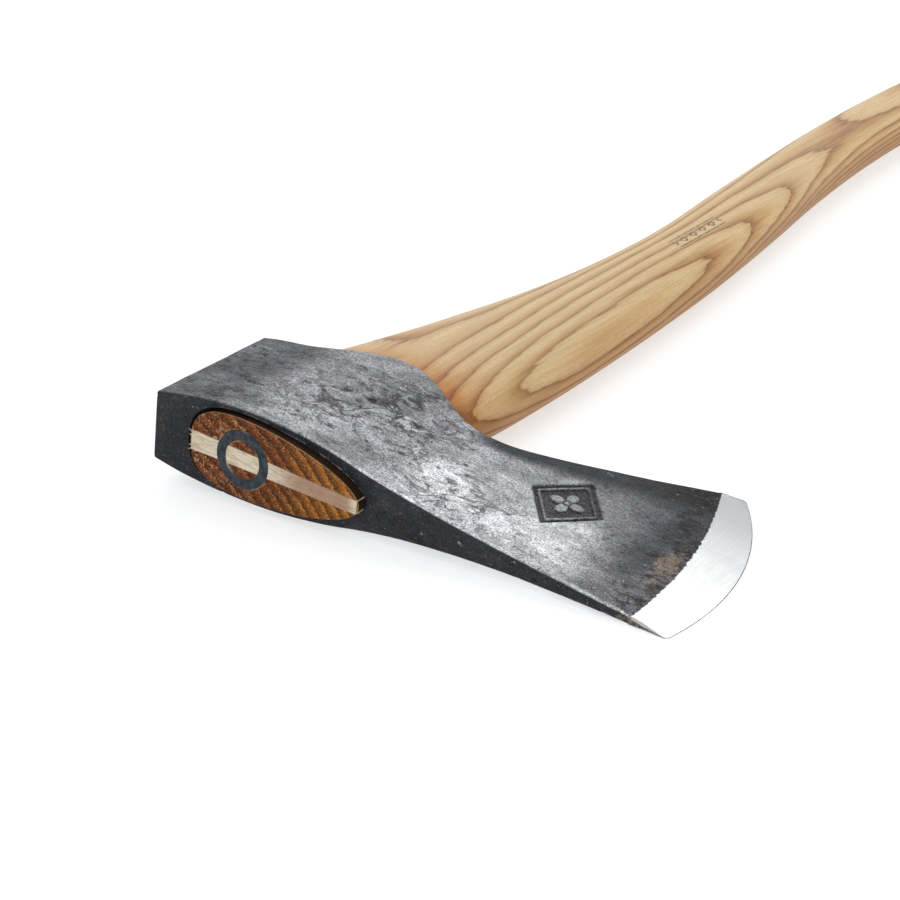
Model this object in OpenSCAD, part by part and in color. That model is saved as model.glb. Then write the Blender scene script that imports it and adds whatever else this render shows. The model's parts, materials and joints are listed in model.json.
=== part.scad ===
// Forged felling axe with a curved wooden handle, lying on its side as it rests on a flat floor.
// It is drawn in the head's own frame: X runs from the poll to the cutting edge, Y from the head's
// top face to the knob, and Z is square to the blade. laid_down() then sets it on the floor.

/* [Head] */
// Half thickness of the head at the eye
cheek_half = 16.7; // [16:0.1:18]
// Radius of the convex cheek in top view
cheek_r = 160; // [140:5:200]
// Distance from the thickest place back to the poll face
poll_back = 36.5; // [33:0.5:40]
// Height of the poll
poll_h = 55; // [50:1:60]
// Height of the lug below the poll's lower edge
lug_h = 14.8; // [10:0.2:16]
// Half length of the lug
lug_half = 38; // [34:1:42]
// Radius of the cutting edge
edge_r = 112; // [105:1:120]
// Place of the cutting edge along X
edge_x = 147; // [140:1:152]
// Width of the ground bevel
bevel_w = 16; // [10:1:20]
// Slope of the beard towards the heel, in degrees
beard_slope = 25.5; // [20:0.5:28]

/* [Eye] */
// Half length of the eye
eye_half = 33.7; // [30:0.1:34]
// Half width of the eye at its widest
eye_w = 14.3; // [12.5:0.1:14.5]
// Share of the eye's width that is left at its waist
eye_waist = 0.87; // [0.8:0.01:0.95]

/* [Handle] */
// Overall length from the head's top face to the knob's end
total_l = 700; // [660:10:750]
// Height of the tongue above the head's top face
tongue_proud = 2.8; // [1:0.2:5]

/* [Wedges] */
// Thickness of the wooden wedge at the poll end
wedge_t = 7; // [5:0.1:8]
// Depth of the wooden wedge below the head's top face
wedge_depth = 42; // [35:1:50]
// Outer radius of the ring wedge
ring_r = 10.4; // [9:0.1:11]
// Inner radius of the ring wedge
ring_bore_r = 6.8; // [6:0.1:7.5]
// Length of the ring wedge
ring_l = 22; // [18:1:26]

/* [Hidden] */

forged_steel = [0.36, 0.37, 0.40];
wedge_steel = [0.20, 0.23, 0.27];
pale_wood = [0.86, 0.74, 0.56];
wedge_wood = [0.82, 0.74, 0.64];

thickest_x = -12;                        // place of the thickest cheek, and of the ring wedge
poll_x = thickest_x - poll_back;
neck_x = 28;                             // where the convex cheek turns into the hollow blade
poll_corner_r = 1.5;
cheek_start = 8;                         // first facet line of the cheek, from the poll face
cheek_step = 6;
blade_fade = 52;                         // length over which the hollow blade thins
top_arc_x = 48.5;                        // lowest place of the hollow top face
top_arc_y = 1.2;
top_arc_r = 1029;
lug_x = 4;
beard_x = 41;                            // where the beard starts to fall
beard_r = 45;
edge_y = 22;                             // height of the cutting edge's centre
bevel_half = 1.6;                        // half thickness at the bevel's upper line
clear = 60;                              // reach of cutting solids past the part

// The handle's outline: [distance from top face, back edge, front edge, half thickness]
stations = [
    [54, -38.5, 33.5, 13.4], [90, -28, 35.5, 13.4], [125, -19.5, 36, 13.2], [165, -11.5, 35.5, 13],
    [210, -6, 34, 12.8], [260, -4.5, 31.5, 12.5], [320, -8, 26.5, 12.2], [380, -11, 20.5, 12],
    [440, -13, 17, 11.8], [505, -12.5, 16.5, 11.8], [560, -9.5, 19.5, 12], [610, -4, 26, 12.8],
    [650, 0, 35, 13.8], [680, 4, 42, 14], [695, 8, 44, 13.2], [700, 13, 41, 9.5]
];
last = len(stations) - 1;
section_power = 2.4;                     // 2 is an ellipse, more is squarer
sides = 28;
rings_per_span = 3;
knob_lean = 0.32;                        // slope of the knob's end face
knob_lean_from = 560;

// How far an arc of radius r has fallen at a distance d from its crown
function arc_drop(r, d) = r - sqrt(r * r - d * d);

// Half thickness of the head at a place along X
function cheek(x) = cheek_half - arc_drop(cheek_r, x - thickest_x);
function blade(x) = cheek(neck_x) * exp(-(x - neck_x) / blade_fade);
function head_half(x) = x < neck_x ? cheek(x) : blade(x);

// Top outline of the head, then its lower one: the lug's bell, the beard's arc and straight run
function top_y(x) = top_arc_y - arc_drop(top_arc_r, x - top_arc_x);
function lug_y(x) = abs(x - lug_x) < lug_half
    ? poll_h + lug_h * (1 + cos(180 * (x - lug_x) / lug_half)) / 2
    : poll_h;
beard_end_x = beard_x + beard_r * sin(beard_slope);
beard_end_y = poll_h + beard_r * (1 - cos(beard_slope));
function beard_y(x) = x < beard_end_x
    ? poll_h + arc_drop(beard_r, x - beard_x)
    : beard_end_y + (x - beard_end_x) * tan(beard_slope);
function low_y(x) = x < beard_x ? lug_y(x) : beard_y(x);
heel_x = 124;
waist_y = 38;                            // distance of the eye's waist from the head's top face

// Outline of the eye at its mouth: an ellipse with its widest place moved towards the poll
eye_shift = 0.36;
function eye_point(a) = [eye_half * (cos(a) - eye_shift * pow(sin(a), 2)), eye_w * sin(a)];

// Smooth run through the stations
function tangent(i) = i == 0 ? stations[1] - stations[0]
    : i == last ? stations[last] - stations[last - 1]
    : (stations[i + 1] - stations[i - 1]) / (stations[i + 1][0] - stations[i - 1][0]);
function slope(i) = i == 0 || i == last ? tangent(i) / tangent(i)[0] : tangent(i);
function station(i, u) = let (p = stations[i], q = stations[i + 1], h = q[0] - p[0])
    p * (1 + 2 * u) * (1 - u) * (1 - u) + q * u * u * (3 - 2 * u)
    + slope(i) * h * u * (1 - u) * (1 - u) - slope(i + 1) * h * u * u * (1 - u);
function ring(s) = let (
    stretch = total_l / stations[last][0],
    y = s[0] * stretch,
    mid = (s[1] + s[2]) / 2,
    half = (s[2] - s[1]) / 2,
    t = max(0, (s[0] - knob_lean_from) / (stations[last][0] - knob_lean_from)),
    lean = knob_lean * t * t * (3 - 2 * t),
    p = 2 / section_power
) [for (k = [0 : sides - 1]) let (a = 360 * k / sides, c = cos(a), z = sin(a),
    dx = half * sign(c) * pow(abs(c), p))
    [mid + dx, y - lean * (dx + half), s[3] * sign(z) * pow(abs(z), p)]];

module sweep(rings) {
    n = len(rings[0]);
    m = len(rings);
    points = [for (r = rings) each r];
    walls = [for (j = [0 : m - 2], k = [0 : n - 1]) let (a = j * n + k, b = j * n + (k + 1) % n)
        each [[a, b, b + n], [a, b + n, a + n]]];
    caps = [[for (k = [n - 1 : -1 : 0]) k], [for (k = [0 : n - 1]) (m - 1) * n + k]];
    polyhedron(points, concat(walls, caps), convexity = 6);
}

// Side outline of the head, without the cutting edge's curve
module head_outline() {
    top = [for (x = [edge_x + 10 : -15 : poll_x]) [x, top_y(x)]];
    low = [for (x = [poll_x, poll_x + 12, each [lug_x - lug_half : 4 : beard_x],
        each [beard_x + 4 : 5 : beard_end_x], beard_end_x, heel_x]) [x, low_y(x)]];
    polygon(concat(top, [[poll_x, top_y(poll_x)]], low, [[edge_x + 10, low_y(heel_x)]]));
}

// Top outline of the head, from poll to past the edge
module thickness_outline() {
    corner = [for (a = [0 : 22.5 : 90]) [poll_x + poll_corner_r * (1 - sin(a)),
        cheek(poll_x + poll_corner_r) - poll_corner_r * (1 - cos(a))]];
    upper = concat([for (a = [len(corner) - 1 : -1 : 0]) corner[a]],
        [for (x = [poll_x + cheek_start : cheek_step : neck_x]) [x, head_half(x)]],
        [for (x = [neck_x : 8 : edge_x + 8]) [x, head_half(x)]]);
    lower = [for (k = [len(upper) - 1 : -1 : 0]) [upper[k][0], -upper[k][1]]];
    polygon(concat(upper, lower));
}

// Disc whose rim is the cutting edge: a double cone at the bevel
module bevel_disc() {
    slope = bevel_half / bevel_w;
    full_r = edge_r - 1.3 * bevel_w;
    translate([edge_x - edge_r, edge_y, 0]) rotate_extrude($fn = 240)
        polygon([[0, -clear], [full_r, -clear], [full_r, -(edge_r - full_r) * slope], [edge_r, 0],
            [full_r, (edge_r - full_r) * slope], [full_r, clear], [0, clear]]);
}

// Half width that the eye's waist leaves at a distance from the head's top face
function waist_half(y) = eye_w * (y < 0 ? 1.05 : eye_waist + (1.05 - eye_waist) * pow(y / waist_y - 1, 2));

// Space of the eye between two heights: an egg outline along Y, narrowed at its waist
module eye_space(from_y, to_y) {
    steps = [from_y, each [0 : 9.5 : 2 * waist_y]];
    right = [for (y = steps) [waist_half(y), y]];
    left = [for (k = [len(steps) - 1 : -1 : 0]) [-waist_half(steps[k]), steps[k]]];
    intersection() {
        translate([0, to_y, 0]) rotate([90, 0, 0]) linear_extrude(to_y - from_y)
            polygon([for (a = [0 : 7.5 : 352.5]) eye_point(a)]);
        rotate([0, 90, 0]) linear_extrude(2 * clear, center = true) polygon(concat(right, left));
    }
}

// Slim trapezoid along the eye, thinning to its tip
module wedge_space() {
    grow = 1.1;
    tip_half = 0.4;
    intersection() {
        translate([0, wedge_depth, 0]) rotate([90, 0, 0]) linear_extrude(wedge_depth + tongue_proud)
            polygon([[-eye_half - 1, wedge_t / 2], [eye_half + 1, wedge_t / 3],
                [eye_half + 1, -wedge_t / 3], [-eye_half - 1, -wedge_t / 2]]);
        rotate([0, 90, 0]) linear_extrude(2 * clear, center = true)
            polygon([[wedge_t / 2 * grow, -tongue_proud], [tip_half, wedge_depth],
                [-tip_half, wedge_depth], [-wedge_t / 2 * grow, -tongue_proud]]);
    }
}

// Tube with a sharpened inner end, its outer end a little proud of the tongue
module ring_space() {
    edge_wall = 0.5;
    translate([thickest_x, ring_l - tongue_proud, 0]) rotate([90, 0, 0]) rotate_extrude($fn = 96)
        polygon([[ring_bore_r, 0], [ring_bore_r + edge_wall, 0], [ring_r, ring_l * 0.7],
            [ring_r, ring_l], [ring_bore_r, ring_l]]);
}

module axe_head() {
    color(forged_steel) laid_down() difference() {
        intersection() {
            translate([0, 0, -clear / 2]) linear_extrude(clear) head_outline();
            translate([0, 2 * clear, 0]) rotate([90, 0, 0]) linear_extrude(3 * clear)
                thickness_outline();
            bevel_disc();
        }
        eye_space(-clear / 2, 2 * waist_y);
    }
}

module handle() {
    rings = [for (i = [0 : last - 1], k = [0 : rings_per_span - 1]) ring(station(i, k / rings_per_span))];
    color(pale_wood) laid_down() difference() {
        union() {
            difference() {
                sweep(concat(rings, [ring(stations[last])]));
                translate([0, 0, -clear / 2]) linear_extrude(clear) head_outline();
            }
            eye_space(-tongue_proud, 2 * waist_y);
        }
        wedge_space();
        ring_space();
    }
}

module wooden_wedge() {
    color(wedge_wood) laid_down() difference() {
        intersection() {
            wedge_space();
            eye_space(-tongue_proud, 2 * waist_y);
        }
        ring_space();
    }
}

module ring_wedge() {
    color(wedge_steel) laid_down() ring_space();
}

// Three points that touch the floor: cheek, cutting edge and knob
touch_x = poll_x + cheek_start + 8 * cheek_step;
cheek_touch = [touch_x, top_y(touch_x), -head_half(touch_x)];
edge_touch = [edge_x, edge_y, 0];
rest_slope = atan(head_half(touch_x) / (edge_x - touch_x));
knob_points = [for (i = [last - 4 : last - 1], k = [0 : rings_per_span - 1])
    each ring(station(i, k / rings_per_span))];
knob_heights = [for (p = knob_points) p[2] * cos(rest_slope) - p[0] * sin(rest_slope)];
knob_touch = knob_points[search(min(knob_heights), knob_heights)[0]];

// Turns that bring the plane through those points level
up = cross(edge_touch - cheek_touch, knob_touch - cheek_touch);
turn_y = -atan2(up[0], up[2]);
turn_x = atan2(up[1], norm([up[0], up[2]]));

// Middle of the resting part, seen from above
poll_far_x = poll_x * cos(turn_y) - (cheek(poll_x) - poll_corner_r) * sin(turn_y);
edge_far_x = edge_x * cos(turn_y);
touch_far_x = cheek_touch[0] * cos(turn_y) + cheek_touch[2] * sin(turn_y);
middle_x = (poll_far_x + edge_far_x) / 2 - touch_far_x;
middle_y = (total_l - tongue_proud) / 2 - cheek_touch[1];

// From the head's own frame to the resting pose, with the origin on the floor
module laid_down() {
    translate([-middle_x, -middle_y, 0]) rotate([turn_x, 0, 0]) rotate([0, turn_y, 0])
        translate(-cheek_touch) children();
}

axe_head();
handle();
wooden_wedge();
ring_wedge();
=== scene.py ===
"""Looks of a forged felling axe with a curved wooden handle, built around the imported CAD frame.

Every piece is shaped in the head's own frame, in millimetres: X runs from the poll to the cutting
edge, Y from the head's top face to the knob, Z is square to the blade. One matrix, worked out from
the frame's poll mount, lays all of them down where the CAD part lies.
"""
import json
import math

import bmesh
import bpy
import numpy as np
from mathutils import Matrix, Vector, noise


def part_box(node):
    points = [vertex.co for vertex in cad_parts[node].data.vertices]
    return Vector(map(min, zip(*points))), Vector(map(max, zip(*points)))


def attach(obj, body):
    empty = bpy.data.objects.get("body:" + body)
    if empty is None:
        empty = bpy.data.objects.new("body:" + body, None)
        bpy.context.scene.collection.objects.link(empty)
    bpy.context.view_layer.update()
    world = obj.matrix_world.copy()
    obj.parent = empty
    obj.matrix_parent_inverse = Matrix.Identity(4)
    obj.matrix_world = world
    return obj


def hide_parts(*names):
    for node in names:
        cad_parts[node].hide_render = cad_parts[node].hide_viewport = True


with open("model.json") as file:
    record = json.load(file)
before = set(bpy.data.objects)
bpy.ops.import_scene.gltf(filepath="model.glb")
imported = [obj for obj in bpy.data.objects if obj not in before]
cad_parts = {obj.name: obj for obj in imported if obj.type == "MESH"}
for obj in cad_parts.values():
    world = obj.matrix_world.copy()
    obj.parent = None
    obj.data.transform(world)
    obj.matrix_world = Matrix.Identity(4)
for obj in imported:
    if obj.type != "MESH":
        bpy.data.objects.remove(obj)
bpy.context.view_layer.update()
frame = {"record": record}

MM = 0.001

# ---------------------------------------------------------------- design, as in the CAD source
CHEEK_HALF = 16.7
CHEEK_R = 160.0
THICKEST_X = -12.0
POLL_X = -48.5
POLL_MOUNT_Y = 27.0
POLL_H = 55.0
NECK_X = 28.0
BLADE_FADE = 52.0
TOP_ARC_X, TOP_ARC_Y, TOP_ARC_R = 48.5, 1.2, 1029.0
LUG_X, LUG_HALF, LUG_H = 4.0, 38.0, 14.8
BEARD_X, BEARD_R, BEARD_SLOPE = 41.0, 45.0, math.radians(25.5)
EDGE_X, EDGE_Y, EDGE_R = 147.0, 22.0, 112.0
BEVEL_X, BEVEL_Y, BEVEL_R = 131.5, 8.0, 215.0
EYE_HALF, EYE_W, EYE_WAIST, WAIST_Y = 33.7, 14.3, 0.87, 38.0
EYE_SHIFT = 0.36
PROUD = 2.8
WEDGE_T, WEDGE_DEPTH = 7.0, 42.0
RING_R, RING_BORE_R, RING_L = 10.4, 6.8, 22.0
TOTAL_L = 700.0
# distance from the top face, back edge, front edge, half thickness
STATIONS = np.array([
    (54, -38.5, 33.5, 13.4), (90, -28, 35.5, 13.4), (125, -19.5, 36, 13.2), (165, -11.5, 35.5, 13),
    (210, -6, 34, 12.8), (260, -4.5, 31.5, 12.5), (320, -8, 26.5, 12.2), (380, -11, 20.5, 12),
    (440, -13, 17, 11.8), (505, -12.5, 16.5, 11.8), (560, -9.5, 19.5, 12), (610, -4, 26, 12.8),
    (650, 0, 35, 13.8), (680, 4, 42, 14), (695, 8, 44, 13.2), (700, 13, 41, 9.5)], float)
SECTION_POWER = 2.4
KNOB_LEAN, KNOB_LEAN_FROM = 0.32, 560.0


def arc_drop(r, d):
    return r - np.sqrt(np.maximum(r * r - d * d, 0))


def head_half(x):
    """Half thickness of the head at a place along X."""
    cheek = CHEEK_HALF - arc_drop(CHEEK_R, x - THICKEST_X)
    neck = CHEEK_HALF - arc_drop(CHEEK_R, NECK_X - THICKEST_X)
    blade = neck * np.exp(-(x - NECK_X) / BLADE_FADE)
    return np.where(x < NECK_X, cheek, blade)


def top_y(x):
    return TOP_ARC_Y - arc_drop(TOP_ARC_R, x - TOP_ARC_X)


def low_y(x):
    """Lower outline of the head: the lug's bell, then the beard's arc and straight run."""
    bell = POLL_H + LUG_H * (1 + np.cos(np.pi * (x - LUG_X) / LUG_HALF)) / 2
    lug = np.where(abs(x - LUG_X) < LUG_HALF, bell, POLL_H)
    end_x = BEARD_X + BEARD_R * math.sin(BEARD_SLOPE)
    end_y = POLL_H + BEARD_R * (1 - math.cos(BEARD_SLOPE))
    arc = POLL_H + arc_drop(BEARD_R, np.clip(x - BEARD_X, 0, end_x - BEARD_X))
    beard = np.where(x < end_x, arc, end_y + (x - end_x) * math.tan(BEARD_SLOPE))
    return np.where(x < BEARD_X, lug, beard)


def edge_x(y):
    return EDGE_X - arc_drop(EDGE_R, y - EDGE_Y)


def bevel_x(y):
    return BEVEL_X - arc_drop(BEVEL_R, y - BEVEL_Y)


def eye_outline(angle, grow=0.0):
    """Egg outline of the eye as (x, z), with its blunt end at the poll."""
    c, s = np.cos(angle), np.sin(angle)
    return (EYE_HALF + grow) * (c - EYE_SHIFT * s * s), (EYE_W + grow) * s


def waist_half(y):
    return EYE_W * np.where(y < 0, 1.05, EYE_WAIST + (1.05 - EYE_WAIST) * (y / WAIST_Y - 1) ** 2)


def station_at(y):
    """Back edge, front edge and half thickness of the handle at a distance from the top face."""
    s = STATIONS
    slopes = np.empty_like(s)
    slopes[1:-1] = (s[2:] - s[:-2]) / (s[2:, :1] - s[:-2, :1])
    slopes[0] = (s[1] - s[0]) / (s[1, 0] - s[0, 0])
    slopes[-1] = (s[-1] - s[-2]) / (s[-1, 0] - s[-2, 0])
    y = np.clip(np.asarray(y, float), s[0, 0], s[-1, 0])
    i = np.clip(np.searchsorted(s[:, 0], y, side="right") - 1, 0, len(s) - 2)
    h = (s[i + 1, 0] - s[i, 0])[..., None]
    u = (y - s[i, 0])[..., None] / h
    return (s[i] * (1 + 2 * u) * (1 - u) ** 2 + s[i + 1] * u * u * (3 - 2 * u)
            + slopes[i] * h * u * (1 - u) ** 2 - slopes[i + 1] * h * u * u * (1 - u))[..., 1:]


# ---------------------------------------------------------------- helpers
def smooth(lo, hi, value):
    t = np.clip((value - lo) / (hi - lo), 0, 1)
    return t * t * (3 - 2 * t)


def noise_at(points, scale, seed=0.0):
    """Smooth noise from -1 to 1 at each point, with bumps about scale millimetres wide."""
    shift = Vector((seed * 17.3, seed * 9.1, seed * 5.7))
    return np.array([noise.noise(Vector(p) / scale + shift) for p in points])


def laid_down():
    """Matrix from the head's own frame to the row frame, from the poll mount's face and normal."""
    poll = next(m for m in frame["record"]["mounts"] if m["name"] == "poll_face")
    _, ny, nz = poll["axis"]
    turn_y = math.asin(nz)
    turn_x = math.asin(-ny / nz)
    turn = Matrix.Rotation(turn_x, 4, "X") @ Matrix.Rotation(turn_y, 4, "Y")
    own = Vector((POLL_X * MM, POLL_MOUNT_Y * MM, 0))
    return Matrix.Translation(Vector(poll["pos_m"]) - turn @ own) @ turn


LAID_DOWN = laid_down()


def tube(loops):
    """Points and faces of a closed skin through loops that all have the same number of points."""
    loops = np.asarray(loops)
    m, n = loops.shape[:2]
    ring = np.arange(n)
    after = (ring + 1) % n
    faces = []
    for j in range(m - 1):
        a, b = j * n, (j + 1) * n
        faces += np.stack([a + ring, a + after, b + after, b + ring], 1).tolist()
    ends = [loops[0].mean(0), loops[-1].mean(0)]
    faces += [[m * n, k2, k1] for k1, k2 in zip(ring, after)]
    last = (m - 1) * n
    faces += [[m * n + 1, last + k1, last + k2] for k1, k2 in zip(ring, after)]
    return np.vstack([loops.reshape(-1, 3), ends]), faces


def add_solid(name, loops):
    """A mesh object in the head's own frame through closed loops given in millimetres."""
    verts, faces = tube(loops)
    mesh = bpy.data.meshes.new(name)
    mesh.from_pydata((verts * MM).tolist(), [], faces)
    bm = bmesh.new()
    bm.from_mesh(mesh)
    bmesh.ops.recalc_face_normals(bm, faces=bm.faces)
    bm.to_mesh(mesh)
    bm.free()
    solid = bpy.data.objects.new(name, mesh)
    bpy.context.scene.collection.objects.link(solid)
    return solid


def points_and_normals(piece):
    mesh = piece.data
    found = []
    for collection, field in ((mesh.vertices, "co"), (mesh.vertex_normals, "vector")):
        flat = np.empty(len(mesh.vertices) * 3)
        collection.foreach_get(field, flat)
        found.append(flat.reshape(-1, 3))
    return found[0] / MM, found[1]


def sink(piece, depth_of):
    """Moves each point inwards by the millimetres that depth_of(points, normals) gives."""
    points, normals = points_and_normals(piece)
    moved = points - normals * depth_of(points, normals)[:, None]
    piece.data.vertices.foreach_set("co", (moved * MM).ravel())


def paint(piece, name, values):
    """Keeps one number per point on the mesh for the material to read."""
    attribute = piece.data.attributes.new(name, "FLOAT", "POINT")
    attribute.data.foreach_set("value", np.asarray(values, np.float32))


def cut(piece, cutter):
    """Takes the cutter's solid out of the piece and removes the cutter."""
    modifier = piece.modifiers.new("cut", "BOOLEAN")
    modifier.operation = "DIFFERENCE"
    modifier.solver = "EXACT"
    modifier.object = cutter
    bpy.context.view_layer.update()
    evaluated = piece.evaluated_get(bpy.context.evaluated_depsgraph_get())
    piece.data = bpy.data.meshes.new_from_object(evaluated)
    piece.modifiers.clear()
    bpy.data.objects.remove(cutter)


def settle(piece, node, material, sharp=32):
    """Lays a finished piece down, dresses it, hangs it on the root body and hides the CAD node it stands for.

    The points' places in the head's own frame stay on the mesh as "own", for the material.
    """
    mesh = piece.data
    own = mesh.attributes.new("own", "FLOAT_VECTOR", "POINT")
    own.data.foreach_set("vector", (points_and_normals(piece)[0] * MM).astype(np.float32).ravel())
    mesh.transform(LAID_DOWN)
    mesh.polygons.foreach_set("use_smooth", [True] * len(mesh.polygons))
    mesh.set_sharp_from_angle(angle=math.radians(sharp))
    mesh.materials.clear()
    mesh.materials.append(material)
    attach(piece, "root")
    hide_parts(node)
    return piece


def spread_lines(lo, hi, coarse, dense_lo, dense_hi, fine):
    """Places from lo to hi, a coarse step apart, and a fine step apart inside the dense stretch."""
    def run(start, end, step):
        return np.linspace(start, end, max(2, round((end - start) / step) + 1))
    return np.unique(np.concatenate([run(lo, dense_lo, coarse), run(dense_lo, dense_hi, fine),
                                     run(dense_hi, hi, coarse)]).round(5))


# ---------------------------------------------------------------- head
MARK_X, MARK_Y = 84.0, 41.0               # middle of the punched mark on the cheek
MARK_A, MARK_B = 13.5, 17.0               # its half diagonals
MARK_DEPTH = 0.6
DARK = 0.02                               # tone of the steel's top, poll and lower faces
MORPH_X = 104.0                           # where the loops start to bend towards the bevel


def head_loop(x_line, inset=0.0, thin=None, tight=0.0):
    """One closed loop round the head. x_line(y) gives X along it, inset shrinks it all round,
    thin(y) replaces the half thickness and tight draws its two ends together."""
    y_top, y_low = 0.0, 70.0
    for _ in range(5):
        y_top = float(top_y(x_line(y_top))) + inset + tight
        y_low = float(low_y(min(float(x_line(y_low)), 127.0))) - inset - tight

    def half(y):
        return head_half(x_line(y)) - inset if thin is None else np.maximum(thin(y), 0.02)
    h_top, h_low = float(half(y_top)), float(half(y_low))
    on_lug = math.exp(-((float(x_line(y_low)) - LUG_X) / 22) ** 2)
    r_top, r_low = min(0.8, 0.7 * h_top), min(0.9 + 1.8 * on_lug, 0.8 * h_low)
    lean = np.linspace(0, np.pi / 2, 5)
    across = np.linspace(-1, 1, 28)[1:-1]
    upper = spread_lines(0, 1, 1 / 60, 0.24, 0.9, 1 / 175)[1:-1]
    under = np.linspace(1, 0, 70)[1:-1]
    a, b = y_top + r_top, y_low - r_low
    runs = [
        (np.full(len(across), y_top), across * (h_top - r_top)),
        (a - r_top * np.cos(lean), h_top - r_top + r_top * np.sin(lean)),
        (a + (b - a) * upper, half(a + (b - a) * upper)),
        (b + r_low * np.sin(lean), h_low - r_low + r_low * np.cos(lean)),
        (np.full(len(across), y_low), -across * (h_low - r_low)),
        (b + r_low * np.cos(lean), -(h_low - r_low) - r_low * np.sin(lean)),
        (a + (b - a) * under, -half(a + (b - a) * under)),
        (a - r_top * np.sin(lean), -(h_top - r_top) - r_top * np.cos(lean)),
    ]
    y = np.concatenate([run[0] for run in runs])
    z = np.concatenate([run[1] for run in runs])
    return np.stack([x_line(y), y, z], 1)


def head_loops():
    """Closed loops from the middle of the poll face to the cutting edge."""
    poll_r = 1.2

    def flat(x):
        return lambda y: x + 0.0 * np.asarray(y, float)
    rounded = [head_loop(flat(POLL_X + poll_r * (1 - math.cos(a))), inset=poll_r * (1 - math.sin(a)))
               for a in np.linspace(0, np.pi / 2, 7)]
    middle = np.array([POLL_X, rounded[0][:, 1].mean(), 0.0])
    poll = [middle + (rounded[0] - middle) * f for f in np.linspace(0.04, 0.97, 20)]
    body = [head_loop(flat(x)) for x in spread_lines(
        POLL_X + poll_r + 0.8, MORPH_X, 1.0, MARK_X - MARK_A - 1, MARK_X + MARK_A + 1, 0.34)]
    morph = [head_loop(lambda y, u=u: MORPH_X + (bevel_x(y) - MORPH_X) * u)
             for u in np.linspace(0, 1, 28)[1:]]
    bevel = []
    for w in np.append(np.linspace(0, 0.94, 17)[1:], [0.975, 1.0]):
        corner = max(0.0, (w - 0.88) / 0.12)
        bevel.append(head_loop(lambda y, w=w: bevel_x(y) + (edge_x(y) - bevel_x(y)) * w,
                               thin=lambda y, w=w: head_half(bevel_x(y)) * (1 - w) ** 0.96,
                               tight=1.4 * (1 - math.sqrt(max(0.0, 1 - corner ** 2)))))
    return poll + rounded + body + morph + bevel


def mark_depth(points):
    """Depth of the punched mark: a sunk diamond with a raised frame line and a raised flower."""
    x, y, z = points.T
    dx, dy = x - MARK_X, y - MARK_Y
    edge = abs(dx) / MARK_A + abs(dy) / MARK_B
    far = np.hypot(dx, dy)
    turn = np.arctan2(dy, dx)
    field = 1 - smooth(0.96, 1.02, edge)
    line = smooth(0.045, 0.02, abs(edge - 0.8))
    petals = smooth(0.5, -0.5, far - 6.2 * abs(np.cos(2 * turn)) ** 0.7) * smooth(1.1, 1.9, far)
    seed = smooth(1.3, 0.8, far)
    raised = np.maximum(np.maximum(line, petals), seed)
    return (z > 0) * MARK_DEPTH * field * (1 - 0.85 * raised)


# Deep nicks in the upper cheek: place, reach along X and across, depth
NICKS = [(9.5, 37, 2.6, 1.1, 0.7), (7, 33, 1.6, 0.7, 0.5), (28, 38, 1.8, 1.3, 0.5), (18, 49, 1.4, 1.0, 0.5),
         (-8, 20, 1.2, 0.7, 0.35), (33, 45, 1.5, 0.6, 0.4), (62, 17, 2.4, 0.5, 0.35), (45, 9, 2.6, 0.5, 0.35)]


def nick_depth(points):
    x, y, z = (points + 0.5 * np.array([noise.noise_vector(Vector(p) / 1.5) for p in points])).T
    deepest = np.zeros(len(x))
    for at_x, at_y, reach_x, reach_y, deep in NICKS:
        far = ((x - at_x) / reach_x) ** 2 + ((y - at_y) / reach_y) ** 2
        deepest = np.maximum(deepest, deep * np.exp(-far ** 1.5))
    return deepest * (z > 0)


def head_relief(points, normals):
    """Depth that forging, scale pits, nicks and the punch leave at each point, in millimetres."""
    x, y, z = points.T
    dents = 0.5 + 0.5 * noise_at(points * (0.7, 1, 0.5), 14.0, 1)
    small = 0.5 + 0.5 * noise_at(points * (0.6, 1, 1), 4.5, 2)
    pits = np.maximum(0, noise_at(points * (0.75, 1, 1), 2.4, 3) - 0.4)
    forged = smooth(0.3, -0.9, x - bevel_x(y) + 0.5 * noise_at(points, 2.0, 4))
    worked = mark_depth(points) + nick_depth(points)
    return forged * (0.28 * dents + 0.12 * small + 0.55 * pits + worked)


def eye_cutter():
    """The eye's space, flared to a chamfer at its mouth and at its lower end."""
    angles = np.linspace(0, 2 * np.pi, 129)[:-1]
    flare = [(-8, 1.7), (-1.0, 1.0), (0.3, 0.45), (1.5, 0.1), (4, 0), (14, 0), (26, 0), (38, 0),
             (50, 0), (60, 0), (66, 0.3), (80, 1.2)]
    loops = []
    for y, grow in flare:
        x, z = eye_outline(angles, grow)
        limit = waist_half(max(y, 0)) + grow
        loops.append(np.stack([x, np.full_like(x, y), np.clip(z, -limit, limit)], 1))
    return add_solid("eye_cutter", loops)


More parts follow.
